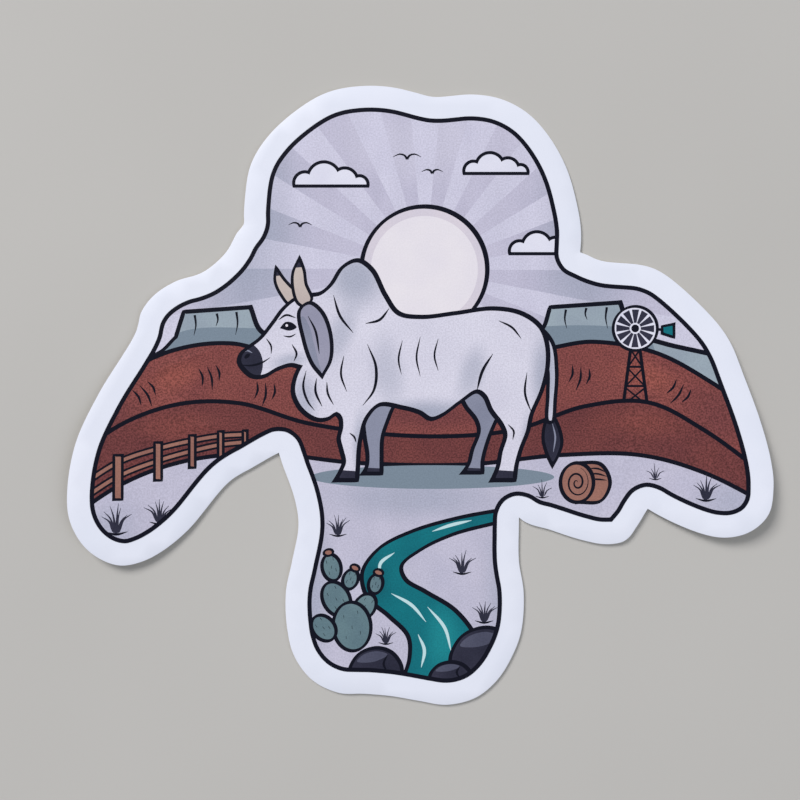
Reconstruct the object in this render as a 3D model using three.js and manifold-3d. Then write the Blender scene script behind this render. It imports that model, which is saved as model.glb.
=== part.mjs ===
// A die-cut vinyl sticker in the outline of a lop-eared cattle head seen from the front.
// It lies face up: X runs to the viewer's right across the ears, Y from the muzzle to the poll,
// and Z up, with the backing paper of the face at z = 0. All lengths are in millimetres.
//
// A white vinyl film carries an ink layer inside a plain white border. The film sits on a backing
// paper that is slit across its width, so that it peels off in two halves. The face lies flat and
// the two ears curl up a little towards their tips, each about its own straight fold.
import * as THREE from "three";
import { mergeVertices } from "three/addons/utils/BufferGeometryUtils.js";
import Module from "manifold-3d";

const wasm = await Module();
wasm.setup();

// Overall width of the sticker across the ears
const WIDTH = 89;

// Thickness of each layer, from the surface that the sticker lies on upwards
const PAPER = 0.2;
const FILM = 0.16;
const INK = 0.04;

// The white border, and the slit across the backing paper
const BORDER = 2.8;
const SLIT_HEIGHT = 5;
const SLIT_GAP = 0.2;

// Spacing of the facets' corners along the cut edge, along the edge of the ink and between them
const EDGE_STEP = 1.1;
const INK_STEP = 1.6;
const SLIT_STEP = 1.3;
const INNER_STEP = 3.2;

// How far the rows of inner corners are shifted up, which keeps them off the slit's own level
const ROW_SHIFT = 0.1;

// A turn of the outline that is sharper than this is a corner, and stays as it is
const CORNER = THREE.MathUtils.degToRad(24);

// Thickness of the plates that the outline is joined from, and how near their corners merge
const PLATE = 1;
const MERGED = 1e-4;

// The share of the border's width at which a point of the inner edge counts as clear of the outline
const CLEAR = 0.999;

// The curl of each ear: the way it runs outwards, how far out from the middle it starts to rise,
// how far out its tip is, and how high the tip stands
const CURLS = [
  { along: [-0.97, -0.24], start: 24, tip: 46, lift: 1.2 },
  { along: [0.97, -0.24], start: 22, tip: 46, lift: 1.6 },
];

// The head, as [height, middle, half width] down the face: poll, brow, cheeks, jaw and muzzle
const HEAD = [
  [33.3, -1.4, 17.5],
  [29.4, -1.5, 19.9],
  [25, -1.2, 21],
  [20, -0.9, 21.4],
  [12, -1.3, 20.5],
  [2, -1.9, 18],
  [-7.3, -2.1, 15.8],
  [-13.1, -1.6, 14.3],
  [-16.5, -1.4, 14],
  [-21, -1.8, 14.4],
  [-25, -1.9, 15.1],
  [-29.9, -1.95, 14.85],
  [-33.2, -2.1, 13.8],
  [-36.2, -1.9, 11.7],
];

// The two bumps of the poll with the dip between them, from left to right
const POLL = [
  [-14.2, 37.2],
  [-11, 38.7],
  [-6.9, 39.3],
  [-3.4, 39.1],
  [-0.4, 38.4],
  [1.7, 37.9],
  [6.9, 38.2],
  [10.4, 37.6],
  [13.6, 35.9],
];

// The underside of the muzzle, from right to left
const CHIN = [
  [7.1, -38.4],
  [3.4, -39.3],
  [-0.1, -38.8],
  [-3.6, -38.2],
  [-7.1, -37.9],
  [-10.2, -37.8],
];

// The left ear: its root inside the head, the upper edge with the fold of its rim, the tip, and
// the lower edge back to the cheek
const LEFT_EAR = [
  [-11.4, 23],
  [-21.6, 22.4],
  [-24.8, 17.9],
  [-27.6, 15.6],
  [-30.9, 14.5],
  [-33.6, 12.8],
  [-35.3, 10.6],
  [-36, 8],
  [-40.6, 0.2],
  [-43.4, -6],
  [-44.4, -12],
  [-44.1, -15.7],
  [-42.5, -18.8],
  [-40.4, -20.6],
  [-37.9, -21.5],
  [-35.3, -21.1],
  [-32.7, -19.8],
  [-29.4, -17.1],
  [-24.2, -11],
  [-21.1, -9.1],
  [-17.9, -7.3],
  [-11.4, -4.4],
];

// The right ear, from its root over the upper edge to the tip and back under the lower edge
const RIGHT_EAR = [
  [14.1, 19.8],
  [20.8, 18],
  [23, 17.1],
  [28.8, 16.4],
  [31.3, 15.2],
  [37, 9.9],
  [39.2, 6.8],
  [41, 2.2],
  [42.9, -3.3],
  [44.1, -8.1],
  [44.4, -11.4],
  [43.8, -14.9],
  [41.8, -17],
  [39.1, -17.9],
  [36, -17.6],
  [28.9, -14.4],
  [23, -9.5],
  [14.1, -0.6],
];

// The rounded bump under the right ear, next to the cheek
const BUMP = [
  [30.7, -11.4],
  [28.8, -14.5],
  [27.6, -16.5],
  [26.1, -18.4],
  [23.7, -18.9],
  [20.7, -18.4],
  [16.6, -17.1],
  [12.8, -15.7],
  [9, -9.5],
  [15.4, -0.6],
  [23, -0.6],
];

const side = (sign) => HEAD.map(([y, middle, half]) => [middle + sign * half, y]);
const HEAD_OUTLINE = [...POLL, ...side(1), ...CHIN, ...side(-1).reverse()];

// Plane geometry on [x, y] points. Loops run anticlockwise.
const minus = (a, b) => [a[0] - b[0], a[1] - b[1]];
const plus = (a, b, times = 1) => [a[0] + b[0] * times, a[1] + b[1] * times];
const dot = (a, b) => a[0] * b[0] + a[1] * b[1];
const cross = (a, b) => a[0] * b[1] - a[1] * b[0];
const length = (a) => Math.hypot(a[0], a[1]);
const distance = (a, b) => length(minus(a, b));
const unit = (a) => [a[0] / length(a), a[1] / length(a)];

function turned([x, y], angle) {
  const [c, s] = [Math.cos(angle), Math.sin(angle)];
  return [x * c - y * s, x * s + y * c];
}

function distanceToSegment(p, a, b) {
  const ab = minus(b, a);
  const share = THREE.MathUtils.clamp(dot(minus(p, a), ab) / dot(ab, ab), 0, 1);
  return distance(p, plus(a, ab, share));
}

function distanceToLoop(p, loop) {
  return Math.min(...loop.map((a, i) => distanceToSegment(p, a, loop[(i + 1) % loop.length])));
}

function inside(p, loop) {
  let within = false;
  loop.forEach((a, i) => {
    const b = loop[(i + 1) % loop.length];
    const crosses = a[1] > p[1] !== b[1] > p[1];
    if (crosses && p[0] < a[0] + ((p[1] - a[1]) / (b[1] - a[1])) * (b[0] - a[0])) within = !within;
  });
  return within;
}

// A smooth closed curve through the points, as evenly spaced points
function smoothLoop(points, step) {
  const through = points.map(([x, y]) => new THREE.Vector3(x, y, 0));
  const curve = new THREE.CatmullRomCurve3(through, true, "centripetal");
  const count = Math.round(curve.getLength() / step);
  return curve
    .getSpacedPoints(count)
    .slice(0, count)
    .map((v) => [v.x, v.y]);
}

// A lobe of the outline as a plate, to be joined with the others
function plateOf(loop) {
  const shape = new THREE.Shape(loop.map(([x, y]) => new THREE.Vector2(x, y)));
  const geometry = new THREE.ExtrudeGeometry(shape, { depth: PLATE, bevelEnabled: false });
  geometry.deleteAttribute("normal");
  geometry.deleteAttribute("uv");
  const merged = mergeVertices(geometry, MERGED);
  return new wasm.Manifold(
    new wasm.Mesh({
      numProp: 3,
      vertProperties: merged.attributes.position.array,
      triVerts: new Uint32Array(merged.index.array),
    }),
  );
}

// The edge of a plate's upper face, as one anticlockwise loop
function edgeOf(plate) {
  const { vertProperties: v, triVerts: t } = plate.getMesh();
  const next = new Map();
  for (let i = 0; i < t.length; i += 3) {
    const corners = [t[i], t[i + 1], t[i + 2]];
    if (corners.some((c) => v[c * 3 + 2] < PLATE / 2)) continue;
    corners.forEach((c, k) => {
      const d = corners[(k + 1) % 3];
      if (next.get(d)?.delete(c)) return;
      next.set(c, (next.get(c) ?? new Set()).add(d));
    });
  }
  const first = [...next.keys()].find((c) => next.get(c).size);
  const loop = [];
  let at = first;
  do {
    loop.push([v[at * 3], v[at * 3 + 1]]);
    [at] = next.get(at);
  } while (at !== first);
  return loop;
}

// Drops points that crowd the last one kept, unless the loop turns a corner there
function thinned(loop, least) {
  const kept = [];
  loop.forEach((p, i) => {
    const before = unit(minus(p, loop.at(i - 1)));
    const after = unit(minus(loop[(i + 1) % loop.length], p));
    const corner = dot(before, after) < Math.cos(CORNER);
    const close = kept.length && distance(kept.at(-1), p) < least;
    if (close && !corner) return;
    if (close) kept.pop();
    kept.push(p);
  });
  if (distance(kept[0], kept.at(-1)) < least) kept.pop();
  return kept;
}

// The loop brought to the overall width, with the middle of its width and height at the origin
function fitted(loop) {
  const box = new THREE.Box2().setFromPoints(loop.map(([x, y]) => new THREE.Vector2(x, y)));
  const middle = box.getCenter(new THREE.Vector2());
  const scale = WIDTH / box.getSize(new THREE.Vector2()).x;
  return loop.map(([x, y]) => [(x - middle.x) * scale, (y - middle.y) * scale]);
}

// The loop moved inwards by a border of even width, round where the outline has a notch
function insetLoop(loop, border) {
  const moved = loop.flatMap((p, i) => {
    const before = unit(minus(p, loop.at(i - 1)));
    const after = unit(minus(loop[(i + 1) % loop.length], p));
    const turn = Math.atan2(cross(before, after), dot(before, after));
    const steps = turn < 0 ? Math.ceil((-turn * border) / INK_STEP) : 0;
    const angles = Array.from({ length: steps + 1 }, (_, s) => (steps ? s / steps : 0.5) * turn);
    const reach = turn < 0 ? border : border / Math.cos(turn / 2);
    return angles.map((angle) => plus(p, turned(before, angle + Math.PI / 2), reach));
  });
  const clear = moved.filter((p) => distanceToLoop(p, loop) > border * CLEAR);
  return smoothLoop(thinned(clear, INK_STEP / 2), INK_STEP);
}

// Adds a corner where the loop crosses a level line, in place of any corner too near it
function crossedAt(loop, level) {
  const out = [];
  loop.forEach((a, i) => {
    const b = loop[(i + 1) % loop.length];
    out.push(a);
    if (a[1] > level === b[1] > level) return;
    const share = (level - a[1]) / (b[1] - a[1]);
    out.push([a[0] + share * (b[0] - a[0]), level]);
  });
  const onLevel = out.filter((p) => p[1] === level);
  return out.filter(
    (p) => onLevel.includes(p) || !onLevel.some((q) => distance(p, q) < 2 * SLIT_GAP),
  );
}

// Delaunay triangles of the points, by adding them one at a time
function triangulate(points) {
  const far = 10 * WIDTH;
  const all = [...points, [-far, -far], [far, -far], [0, far]];
  const n = points.length;
  const circle = (a, b, c) => {
    const [ab, ac] = [minus(all[b], all[a]), minus(all[c], all[a])];
    const [bb, cc] = [dot(ab, ab), dot(ac, ac)];
    const d = 2 * cross(ab, ac);
    const centre = [(ac[1] * bb - ab[1] * cc) / d, (ab[0] * cc - ac[0] * bb) / d];
    return { corners: [a, b, c], centre: plus(all[a], centre), reach: length(centre) };
  };
  let triangles = [circle(n, n + 1, n + 2)];
  points.forEach((p, i) => {
    const broken = triangles.filter((t) => distance(p, t.centre) < t.reach);
    triangles = triangles.filter((t) => !broken.includes(t));
    const rim = new Map();
    broken.forEach(({ corners }) =>
      corners.forEach((a, k) => {
        const b = corners[(k + 1) % 3];
        if (!rim.delete(`${b},${a}`)) rim.set(`${a},${b}`, [a, b]);
      }),
    );
    rim.forEach(([a, b]) => triangles.push(circle(a, b, i)));
  });
  return triangles.map((t) => t.corners).filter((corners) => corners.every((c) => c < n));
}

// The outline, the edge of the ink, and the two sides of the slit
const plates = [HEAD_OUTLINE, LEFT_EAR, RIGHT_EAR, BUMP].map((lobe) =>
  plateOf(smoothLoop(lobe, EDGE_STEP)),
);
const cut = fitted(thinned(edgeOf(plates.reduce((a, b) => a.add(b))), EDGE_STEP / 2));
const slitLevels = [SLIT_HEIGHT - SLIT_GAP / 2, SLIT_HEIGHT + SLIT_GAP / 2];
const outline = slitLevels.reduce(crossedAt, cut);
const inkEdge = slitLevels.reduce(crossedAt, insetLoop(cut, BORDER));

function slitPoints(level) {
  const ends = [...outline, ...inkEdge]
    .filter((p) => p[1] === level)
    .map((p) => p[0])
    .sort((a, b) => a - b);
  return ends.slice(1).flatMap((right, i) => {
    const steps = Math.round((right - ends[i]) / SLIT_STEP);
    return Array.from({ length: steps - 1 }, (_, k) => [
      ends[i] + ((right - ends[i]) * (k + 1)) / steps,
      level,
    ]);
  });
}

function innerPoints() {
  const made = [];
  const rowHeight = (INNER_STEP * Math.sqrt(3)) / 2;
  const rows = Math.ceil(WIDTH / 2 / rowHeight);
  for (let row = -rows; row <= rows; row++) {
    const indent = row % 2 ? INNER_STEP / 2 : 0;
    for (let x = -WIDTH / 2; x <= WIDTH / 2; x += INNER_STEP)
      made.push([x + indent, row * rowHeight + ROW_SHIFT]);
  }
  return made.filter(
    (p) =>
      inside(p, outline) &&
      Math.abs(p[1] - SLIT_HEIGHT) > SLIT_STEP &&
      distanceToLoop(p, outline) > EDGE_STEP &&
      distanceToLoop(p, inkEdge) > INK_STEP,
  );
}

const points = [...outline, ...inkEdge, ...slitLevels.flatMap(slitPoints), ...innerPoints()];
const middleOf = (triangle) =>
  triangle.reduce((sum, c) => plus(sum, points[c], 1 / 3), [0, 0]);
const filmTriangles = triangulate(points).filter((t) => inside(middleOf(t), outline));

// Height of the underside of the sticker above the surface that it lies on
function curl(p) {
  const heights = CURLS.map(({ along, start, tip, lift }) => {
    const risen = Math.max(0, dot(p, along) - start) / (tip - start);
    return lift * risen ** 2;
  });
  return Math.max(...heights);
}

// A layer of the sticker over some of the triangles, as one closed shell
function layer(name, triangles, bottom, top, material) {
  const corners = [...new Set(triangles.flat())];
  const place = new Map(corners.map((c, i) => [c, i]));
  const n = corners.length;
  const position = [bottom, top].flatMap((level) =>
    corners.flatMap((c) => [...points[c], curl(points[c]) + level]),
  );
  const index = [];
  const open = new Map();
  triangles.forEach((triangle) => {
    const [a, b, c] = triangle.map((corner) => place.get(corner));
    index.push(a + n, b + n, c + n, a, c, b);
    [
      [a, b],
      [b, c],
      [c, a],
    ].forEach(([from, to]) => {
      if (!open.delete(`${to},${from}`)) open.set(`${from},${to}`, [from, to]);
    });
  });
  open.forEach(([from, to]) => index.push(from, to, to + n, from, to + n, from + n));
  const geometry = new THREE.BufferGeometry();
  geometry.setAttribute("position", new THREE.Float32BufferAttribute(position, 3));
  geometry.setIndex(index);
  geometry.computeVertexNormals();
  const mesh = new THREE.Mesh(geometry, material);
  mesh.name = name;
  return mesh;
}

const paper = new THREE.MeshStandardMaterial({ color: 0xe9e4d6, roughness: 0.8, metalness: 0 });
const vinyl = new THREE.MeshStandardMaterial({ color: 0xe6e8f4, roughness: 0.5, metalness: 0 });
const ink = new THREE.MeshStandardMaterial({ color: 0xbdb9cb, roughness: 0.5, metalness: 0 });

const above = (t) => middleOf(t)[1] > slitLevels[1];
const below = (t) => middleOf(t)[1] < slitLevels[0];
const inked = (t) => inside(middleOf(t), inkEdge);

const sticker = new THREE.Group();
sticker.add(
  layer("backing_upper", filmTriangles.filter(above), 0, PAPER, paper),
  layer("backing_lower", filmTriangles.filter(below), 0, PAPER, paper),
  layer("vinyl_film", filmTriangles, PAPER, PAPER + FILM, vinyl),
  layer("ink_layer", filmTriangles.filter(inked), PAPER + FILM, PAPER + FILM + INK, ink),
);

export default sticker;
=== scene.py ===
"""Looks of a die-cut vinyl sticker that lies face up on a pale floor, seen from straight above.

The cut edge, the edge of the print and the layers' levels are read from the CAD frame. The print is
a ranch landscape with a humped cow, drawn as flat shapes, lowest first, which are then cut into one
sheet of triangles that takes each triangle's ink from the highest shape over it. Drawing
coordinates are in millimetres in the sticker's own X and Y.
"""

import math

import bpy
import numpy as np
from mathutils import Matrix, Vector
from mathutils.geometry import delaunay_2d_cdt


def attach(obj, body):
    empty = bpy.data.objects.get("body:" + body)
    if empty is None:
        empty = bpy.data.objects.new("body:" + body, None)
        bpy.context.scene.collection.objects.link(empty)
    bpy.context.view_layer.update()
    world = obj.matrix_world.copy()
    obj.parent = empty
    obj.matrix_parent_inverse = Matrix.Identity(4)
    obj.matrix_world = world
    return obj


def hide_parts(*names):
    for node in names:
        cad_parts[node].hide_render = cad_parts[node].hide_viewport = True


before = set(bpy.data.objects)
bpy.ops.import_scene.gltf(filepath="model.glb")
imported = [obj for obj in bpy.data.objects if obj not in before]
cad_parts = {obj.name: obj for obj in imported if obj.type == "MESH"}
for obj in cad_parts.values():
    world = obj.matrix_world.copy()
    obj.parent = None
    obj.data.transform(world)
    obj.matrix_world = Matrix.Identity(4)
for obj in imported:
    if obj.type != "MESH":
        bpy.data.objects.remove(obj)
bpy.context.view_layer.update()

MM = 0.001

# The curl of the sheet's two ears, as in the CAD source: the way each runs outwards, how far out
# from the middle it starts to rise, how far out its tip is, and how high the tip stands
CURLS = (
    ((-0.97, -0.24), 24, 46, 1.2),
    ((0.97, -0.24), 22, 46, 1.6),
)

# How far apart the points lie along a drawn curve, along a sheet's edge, and in the grid that
# fills a sheet, and how far the grid keeps from the sheet's edge. Points nearer to each other
# than MERGED become one.
STEP = 0.3
EDGE_STEP = 0.4
SHEET_STEP = 2.2
GRID_MARGIN = SHEET_STEP / 3
MERGED = 0.003

# The cut edge keeps a corner where it turns by more than CORNER, and faces that meet at more than
# SHARP aren't shaded as one
CORNER = math.radians(45)
SHARP = math.radians(30)

# A frame's face looks up where its normal's height is more than this
UPWARD = 0.5

# A miter reaches at most this many times the distance that its loop is moved by
MITER_REACH = 2

# What delaunay_2d_cdt gives back: only the triangles inside the loops
INSIDE_ONLY = 1

# The widths of the main lines and of a stroke's tip
KEYLINE = 0.55
FINE_TIP = 0.03

# The pen's nib: the angle that it is held at, and how wide its line is along that angle, and how
# much wider across it, as shares of the line's own width
NIB_ANGLE = math.radians(40)
NIB_NARROW = 0.78
NIB_WIDER = 0.4

# A moved loop keeps the points that came out at least this share of the way from the old one
MOVED_SHARE = 0.96

# The film's cut edge is rounded by this much
ROUNDED_EDGE = 0.05

# The sheets are flat this far to either side of the middle
FLAT_HALF = 10

# The size of the grain that the printed inks show
GRAIN = 0.2

# The colour sockets of a mix node go by number, because their names are there more than once
MIX_INPUTS = (0, 6, 7)
MIX_RESULT = 2

# A sheet's map, as the low corner and the size of each part's place in the unit square: the upper
# face gets nearly all of it, and the underside and the cut edge share the strip below
UPPER_MAP = ((0.004, 0.12), (0.992, 0.876))
UNDER_MAP = ((0.004, 0.004), (0.12, 0.108))
EDGE_MAP = ((0.14, 0.02), (0.85, 0.08))

# The camera's view: a square of this side at the sticker, and its middle
VIEW_SIDE = 102.0
VIEW_MIDDLE = (-2.5, -0.6)
LENS = 50
SENSOR = 36

# The floor's half width, and its level just under the sticker, in metres
FLOOR_HALF = 8.0
FLOOR_LEVEL = -0.00005

# Lights: name, place in metres, size, power and colour
LIGHTS = (
    ("key", (-1.0, 1.15, 1.35), 0.85, 35, (1.0, 0.98, 0.96)),
    ("fill", (1.2, -0.72, 1.32), 1.4, 10.5, (0.92, 0.95, 1.0)),
)

# The light from all round: its colour and strength
SURROUNDINGS = (0.93, 0.96, 1.0, 1.0)
SURROUNDINGS_STRENGTH = 0.31


# Plane curves and outlines, as arrays of points


def curve(points, closed=False, step=STEP):
    """A smooth curve through the points. It turns a corner at a point that is given twice."""
    points = [tuple(p) for p in points]
    count = len(points)
    corners = [i for i in range(1, count) if points[i] == points[i - 1]]
    if closed and points[0] == points[-1]:
        corners.append(count)
        points.append(points[0])
    if closed and not corners:
        return smooth_run(np.array(points), True, step)
    if closed:
        first = corners[0]
        points = points[first:count] + points[:first]
        corners = [i for i in range(1, len(points)) if points[i] == points[i - 1]]
        if points[0] != points[-1]:
            points.append(points[0])
    cuts = [0, *corners, len(points)]
    runs = [points[a:b] for a, b in zip(cuts, cuts[1:]) if b - a > 1]
    parts = [smooth_run(np.array(run), False, step)[:-1] for run in runs]
    if not closed:
        parts.append(np.array(points[-1:], float))
    return np.concatenate(parts)


def smooth_run(points, closed, step):
    """Centripetal Catmull-Rom through the points."""
    if closed:
        around = np.concatenate([points[-1:], points, points[:2]])
    else:
        ends = 2 * points[0] - points[1], 2 * points[-1] - points[-2]
        around = np.concatenate([[ends[0]], points, [ends[1]]])
    made = []
    for p0, p1, p2, p3 in zip(around, around[1:], around[2:], around[3:]):
        spans = [math.sqrt(math.dist(a, b)) for a, b in ((p0, p1), (p1, p2), (p2, p3))]
        knots = np.cumsum([0, *spans])
        count = max(1, round(math.dist(p1, p2) / step))
        t = (knots[1] + (knots[2] - knots[1]) * np.arange(count) / count)[:, None]
        a1 = blended(p0, p1, knots[0], knots[1], t)
        a2 = blended(p1, p2, knots[1], knots[2], t)
        a3 = blended(p2, p3, knots[2], knots[3], t)
        b1 = blended(a1, a2, knots[0], knots[2], t)
        b2 = blended(a2, a3, knots[1], knots[3], t)
        made.append(blended(b1, b2, knots[1], knots[2], t))
    if not closed:
        made.append(points[-1:])
    return np.concatenate(made)


def blended(a, b, start, end, t):
    """The point between a, at the knot start, and b, at the knot end, that t gives."""
    return (end - t) / (end - start) * a + (t - start) / (end - start) * b


def ellipse(middle, radii, turn=0, step=STEP):
    """An anticlockwise ellipse, turned by some degrees."""
    count = max(10, round(math.tau * max(radii) / step))
    angles = np.arange(count) * math.tau / count
    flat = np.stack([radii[0] * np.cos(angles), radii[1] * np.sin(angles)], 1)
    return turned(flat, turn) + middle


def square(half):
    """The corners of a square about the origin, anticlockwise."""
    return [(-half, -half), (half, -half), (half, half), (-half, half)]


def turned(points, degrees):
    """The points turned anticlockwise about the origin."""
    c, s = math.cos(math.radians(degrees)), math.sin(math.radians(degrees))
    return np.asarray(points) @ np.array([[c, s], [-s, c]])


def anticlockwise(loop):
    """The loop, turned round if it runs clockwise."""
    x, y = loop[:, 0], loop[:, 1]
    doubled = np.sum(x * np.roll(y, -1) - y * np.roll(x, -1))
    return loop if doubled > 0 else loop[::-1]


def normals(loop):
    """The outward miter direction at each point of an anticlockwise loop, and its reach."""
    along = np.roll(loop, -1, 0) - loop
    along /= np.linalg.norm(along, axis=1)[:, None]
    out = np.stack([along[:, 1], -along[:, 0]], 1)
    miter = out + np.roll(out, 1, 0)
    miter /= np.linalg.norm(miter, axis=1)[:, None]
    return miter, 1 / np.maximum(np.sum(miter * out, 1), 1 / MITER_REACH)


def away_from(points, loop):
    """Each point's distance to the loop."""
    a, ab = loop, np.roll(loop, -1, 0) - loop
    ap = points[:, None] - a[None]
    share = np.clip(np.sum(ap * ab, 2) / np.sum(ab * ab, 1), 0, 1)
    return np.linalg.norm(ap - share[..., None] * ab, axis=2).min(1)


def grown(loop, by):
    """The loop moved outwards, or inwards by a negative distance."""
    miter, reach = normals(loop)
    by = np.broadcast_to(by, len(loop))
    moved = loop + miter * (by * reach)[:, None]
    return moved[away_from(moved, loop) > np.abs(by) * MOVED_SHARE]


# How a stroke's width runs along it, from 0 at its start to 1 at its end
TAPERS = {
    "both": lambda t: np.sin(math.pi * t) ** 0.7,
    "end": lambda t: (1 - t) ** 0.6,
    "blade": lambda t: np.minimum(1, 0.4 + 2.5 * t) * (1 - t) ** 0.7,
    "none": np.ones_like,
}


def ribbon(path, width, taper="both"):
    """The outline of a pen stroke along the path, which thins out towards its tapered ends."""
    along = np.gradient(path, axis=0)
    along /= np.linalg.norm(along, axis=1)[:, None]
    across = np.stack([-along[:, 1], along[:, 0]], 1)
    share = TAPERS[taper](np.linspace(0, 1, len(path)))
    half = np.maximum(share * width / 2, FINE_TIP)[:, None]
    return np.concatenate([path + across * half, (path - across * half)[::-1]])


# The drawing: shapes from the lowest to the highest

SHAPES = []


def shape(loop, ink, within=None):
    """Adds a shape in one ink, cut off at the shape it is drawn within. Returns its number."""
    SHAPES.append((anticlockwise(np.asarray(loop)), ink, within))
    return len(SHAPES) - 1


def pen(loop, width):
    """The width of a line round the loop as a slanted nib draws it."""
    along = np.roll(loop, -1, 0) - np.roll(loop, 1, 0)
    slant = np.arctan2(along[:, 1], along[:, 0]) - NIB_ANGLE
    return width * (NIB_NARROW + NIB_WIDER * np.abs(np.sin(slant)))


def keyed(points, ink, width=KEYLINE):
    """Adds a smooth closed shape with a dark line round it. Returns the number of its inside."""
    return keyed_loop(curve(points, closed=True), ink, width)


def keyed_loop(loop, ink, width=KEYLINE):
    """Adds a shape of this outline with a dark line round it. Returns the number of its inside."""
    loop = anticlockwise(loop)
    half = pen(loop, width) / 2
    shape(grown(loop, half), "keyline")
    return shape(grown(loop, -half), ink)


def stroke(points, width, taper="both", ink="keyline", within=None):
    """Adds a pen stroke along a smooth curve through the points."""
    return shape(ribbon(curve(points), width, taper), ink, within)


# The edges of the sheet and of the print, from the frame


def boundary(triangles):
    """The loop of points round a set of triangles, anticlockwise."""
    open_edges = {(a, b) for t in triangles for a, b in zip(t, (*t[1:], t[0]))}
    after = {a: b for a, b in open_edges if (b, a) not in open_edges}
    start = min(after)
    loop = [start]
    while after[loop[-1]] != start:
        loop.append(after[loop[-1]])
    return loop


def top_edge(node):
    """The edge of a node's upper face, anticlockwise, in millimetres."""
    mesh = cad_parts[node].data
    numbers = {}
    keys = [tuple(round(c / MM, 3) for c in v.co) for v in mesh.vertices]
    spot = [numbers.setdefault(key, len(numbers)) for key in keys]
    faces = [face for face in mesh.polygons if face.normal.z > UPWARD]
    triangles = [[spot[v] for v in face.vertices] for face in faces]
    places = np.array(list(numbers))[:, :2]
    return places[boundary(triangles)]


def smoothed(loop):
    """A fine smooth loop through the frame's points, with the sharp notches kept."""
    points = []
    for before, p, after in zip(np.roll(loop, 1, 0), loop, np.roll(loop, -1, 0)):
        a, b = p - before, after - p
        turn = math.atan2(a[0] * b[1] - a[1] * b[0], a @ b)
        points.append(tuple(p))
        if abs(turn) > CORNER:
            points.append(tuple(p))
    return curve(points, closed=True, step=EDGE_STEP)


def curl(points):
    """How far the sheet's underside stands off the floor at each point."""
    height = np.zeros(len(points))
    for along, start, tip, lift in CURLS:
        risen = np.maximum(0, points @ np.array(along) - start) / (tip - start)
        height = np.maximum(height, lift * risen**2)
    return height


def triangulated(loops):
    """Triangles of all the loops together with an even grid over the first one, as points,
    triangles, and the numbers of the loops that each triangle is in."""
    low, high = loops[0].min(0), loops[0].max(0)
    rows = np.arange(low[1], high[1], SHEET_STEP * math.sqrt(3) / 2)
    grid = [
        (x + (row % 2) * SHEET_STEP / 2, y)
        for row, y in enumerate(rows)
        for x in np.arange(low[0], high[0], SHEET_STEP)
    ]
    grid = [p for p in grid if away_from(np.array([p]), loops[0])[0] > GRID_MARGIN]
    points = [Vector(p) for loop in loops for p in loop] + [Vector(p) for p in grid]
    starts = np.cumsum([0] + [len(loop) for loop in loops])
    faces = [list(range(a, b)) for a, b in zip(starts, starts[1:])]
    made = delaunay_2d_cdt(points, [], faces, INSIDE_ONLY, MERGED)
    places, _, triangles, _, _, owners = made
    inside = [i for i, own in enumerate(owners) if 0 in own]
    used = sorted({corner for i in inside for corner in triangles[i]})
    number = {corner: i for i, corner in enumerate(used)}
    kept = [tuple(number[corner] for corner in triangles[i]) for i in inside]
    return np.array(places)[used], kept, [set(owners[i]) for i in inside]


# Materials


def srgb(*parts):
    """A colour's parts from 0 to 255, as linear light."""
    shares = [part / 255 for part in parts]
    linear = [c / 12.92 if c <= 0.04045 else ((c + 0.055) / 1.055) ** 2.4 for c in shares]
    return (*linear, 1.0)


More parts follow.
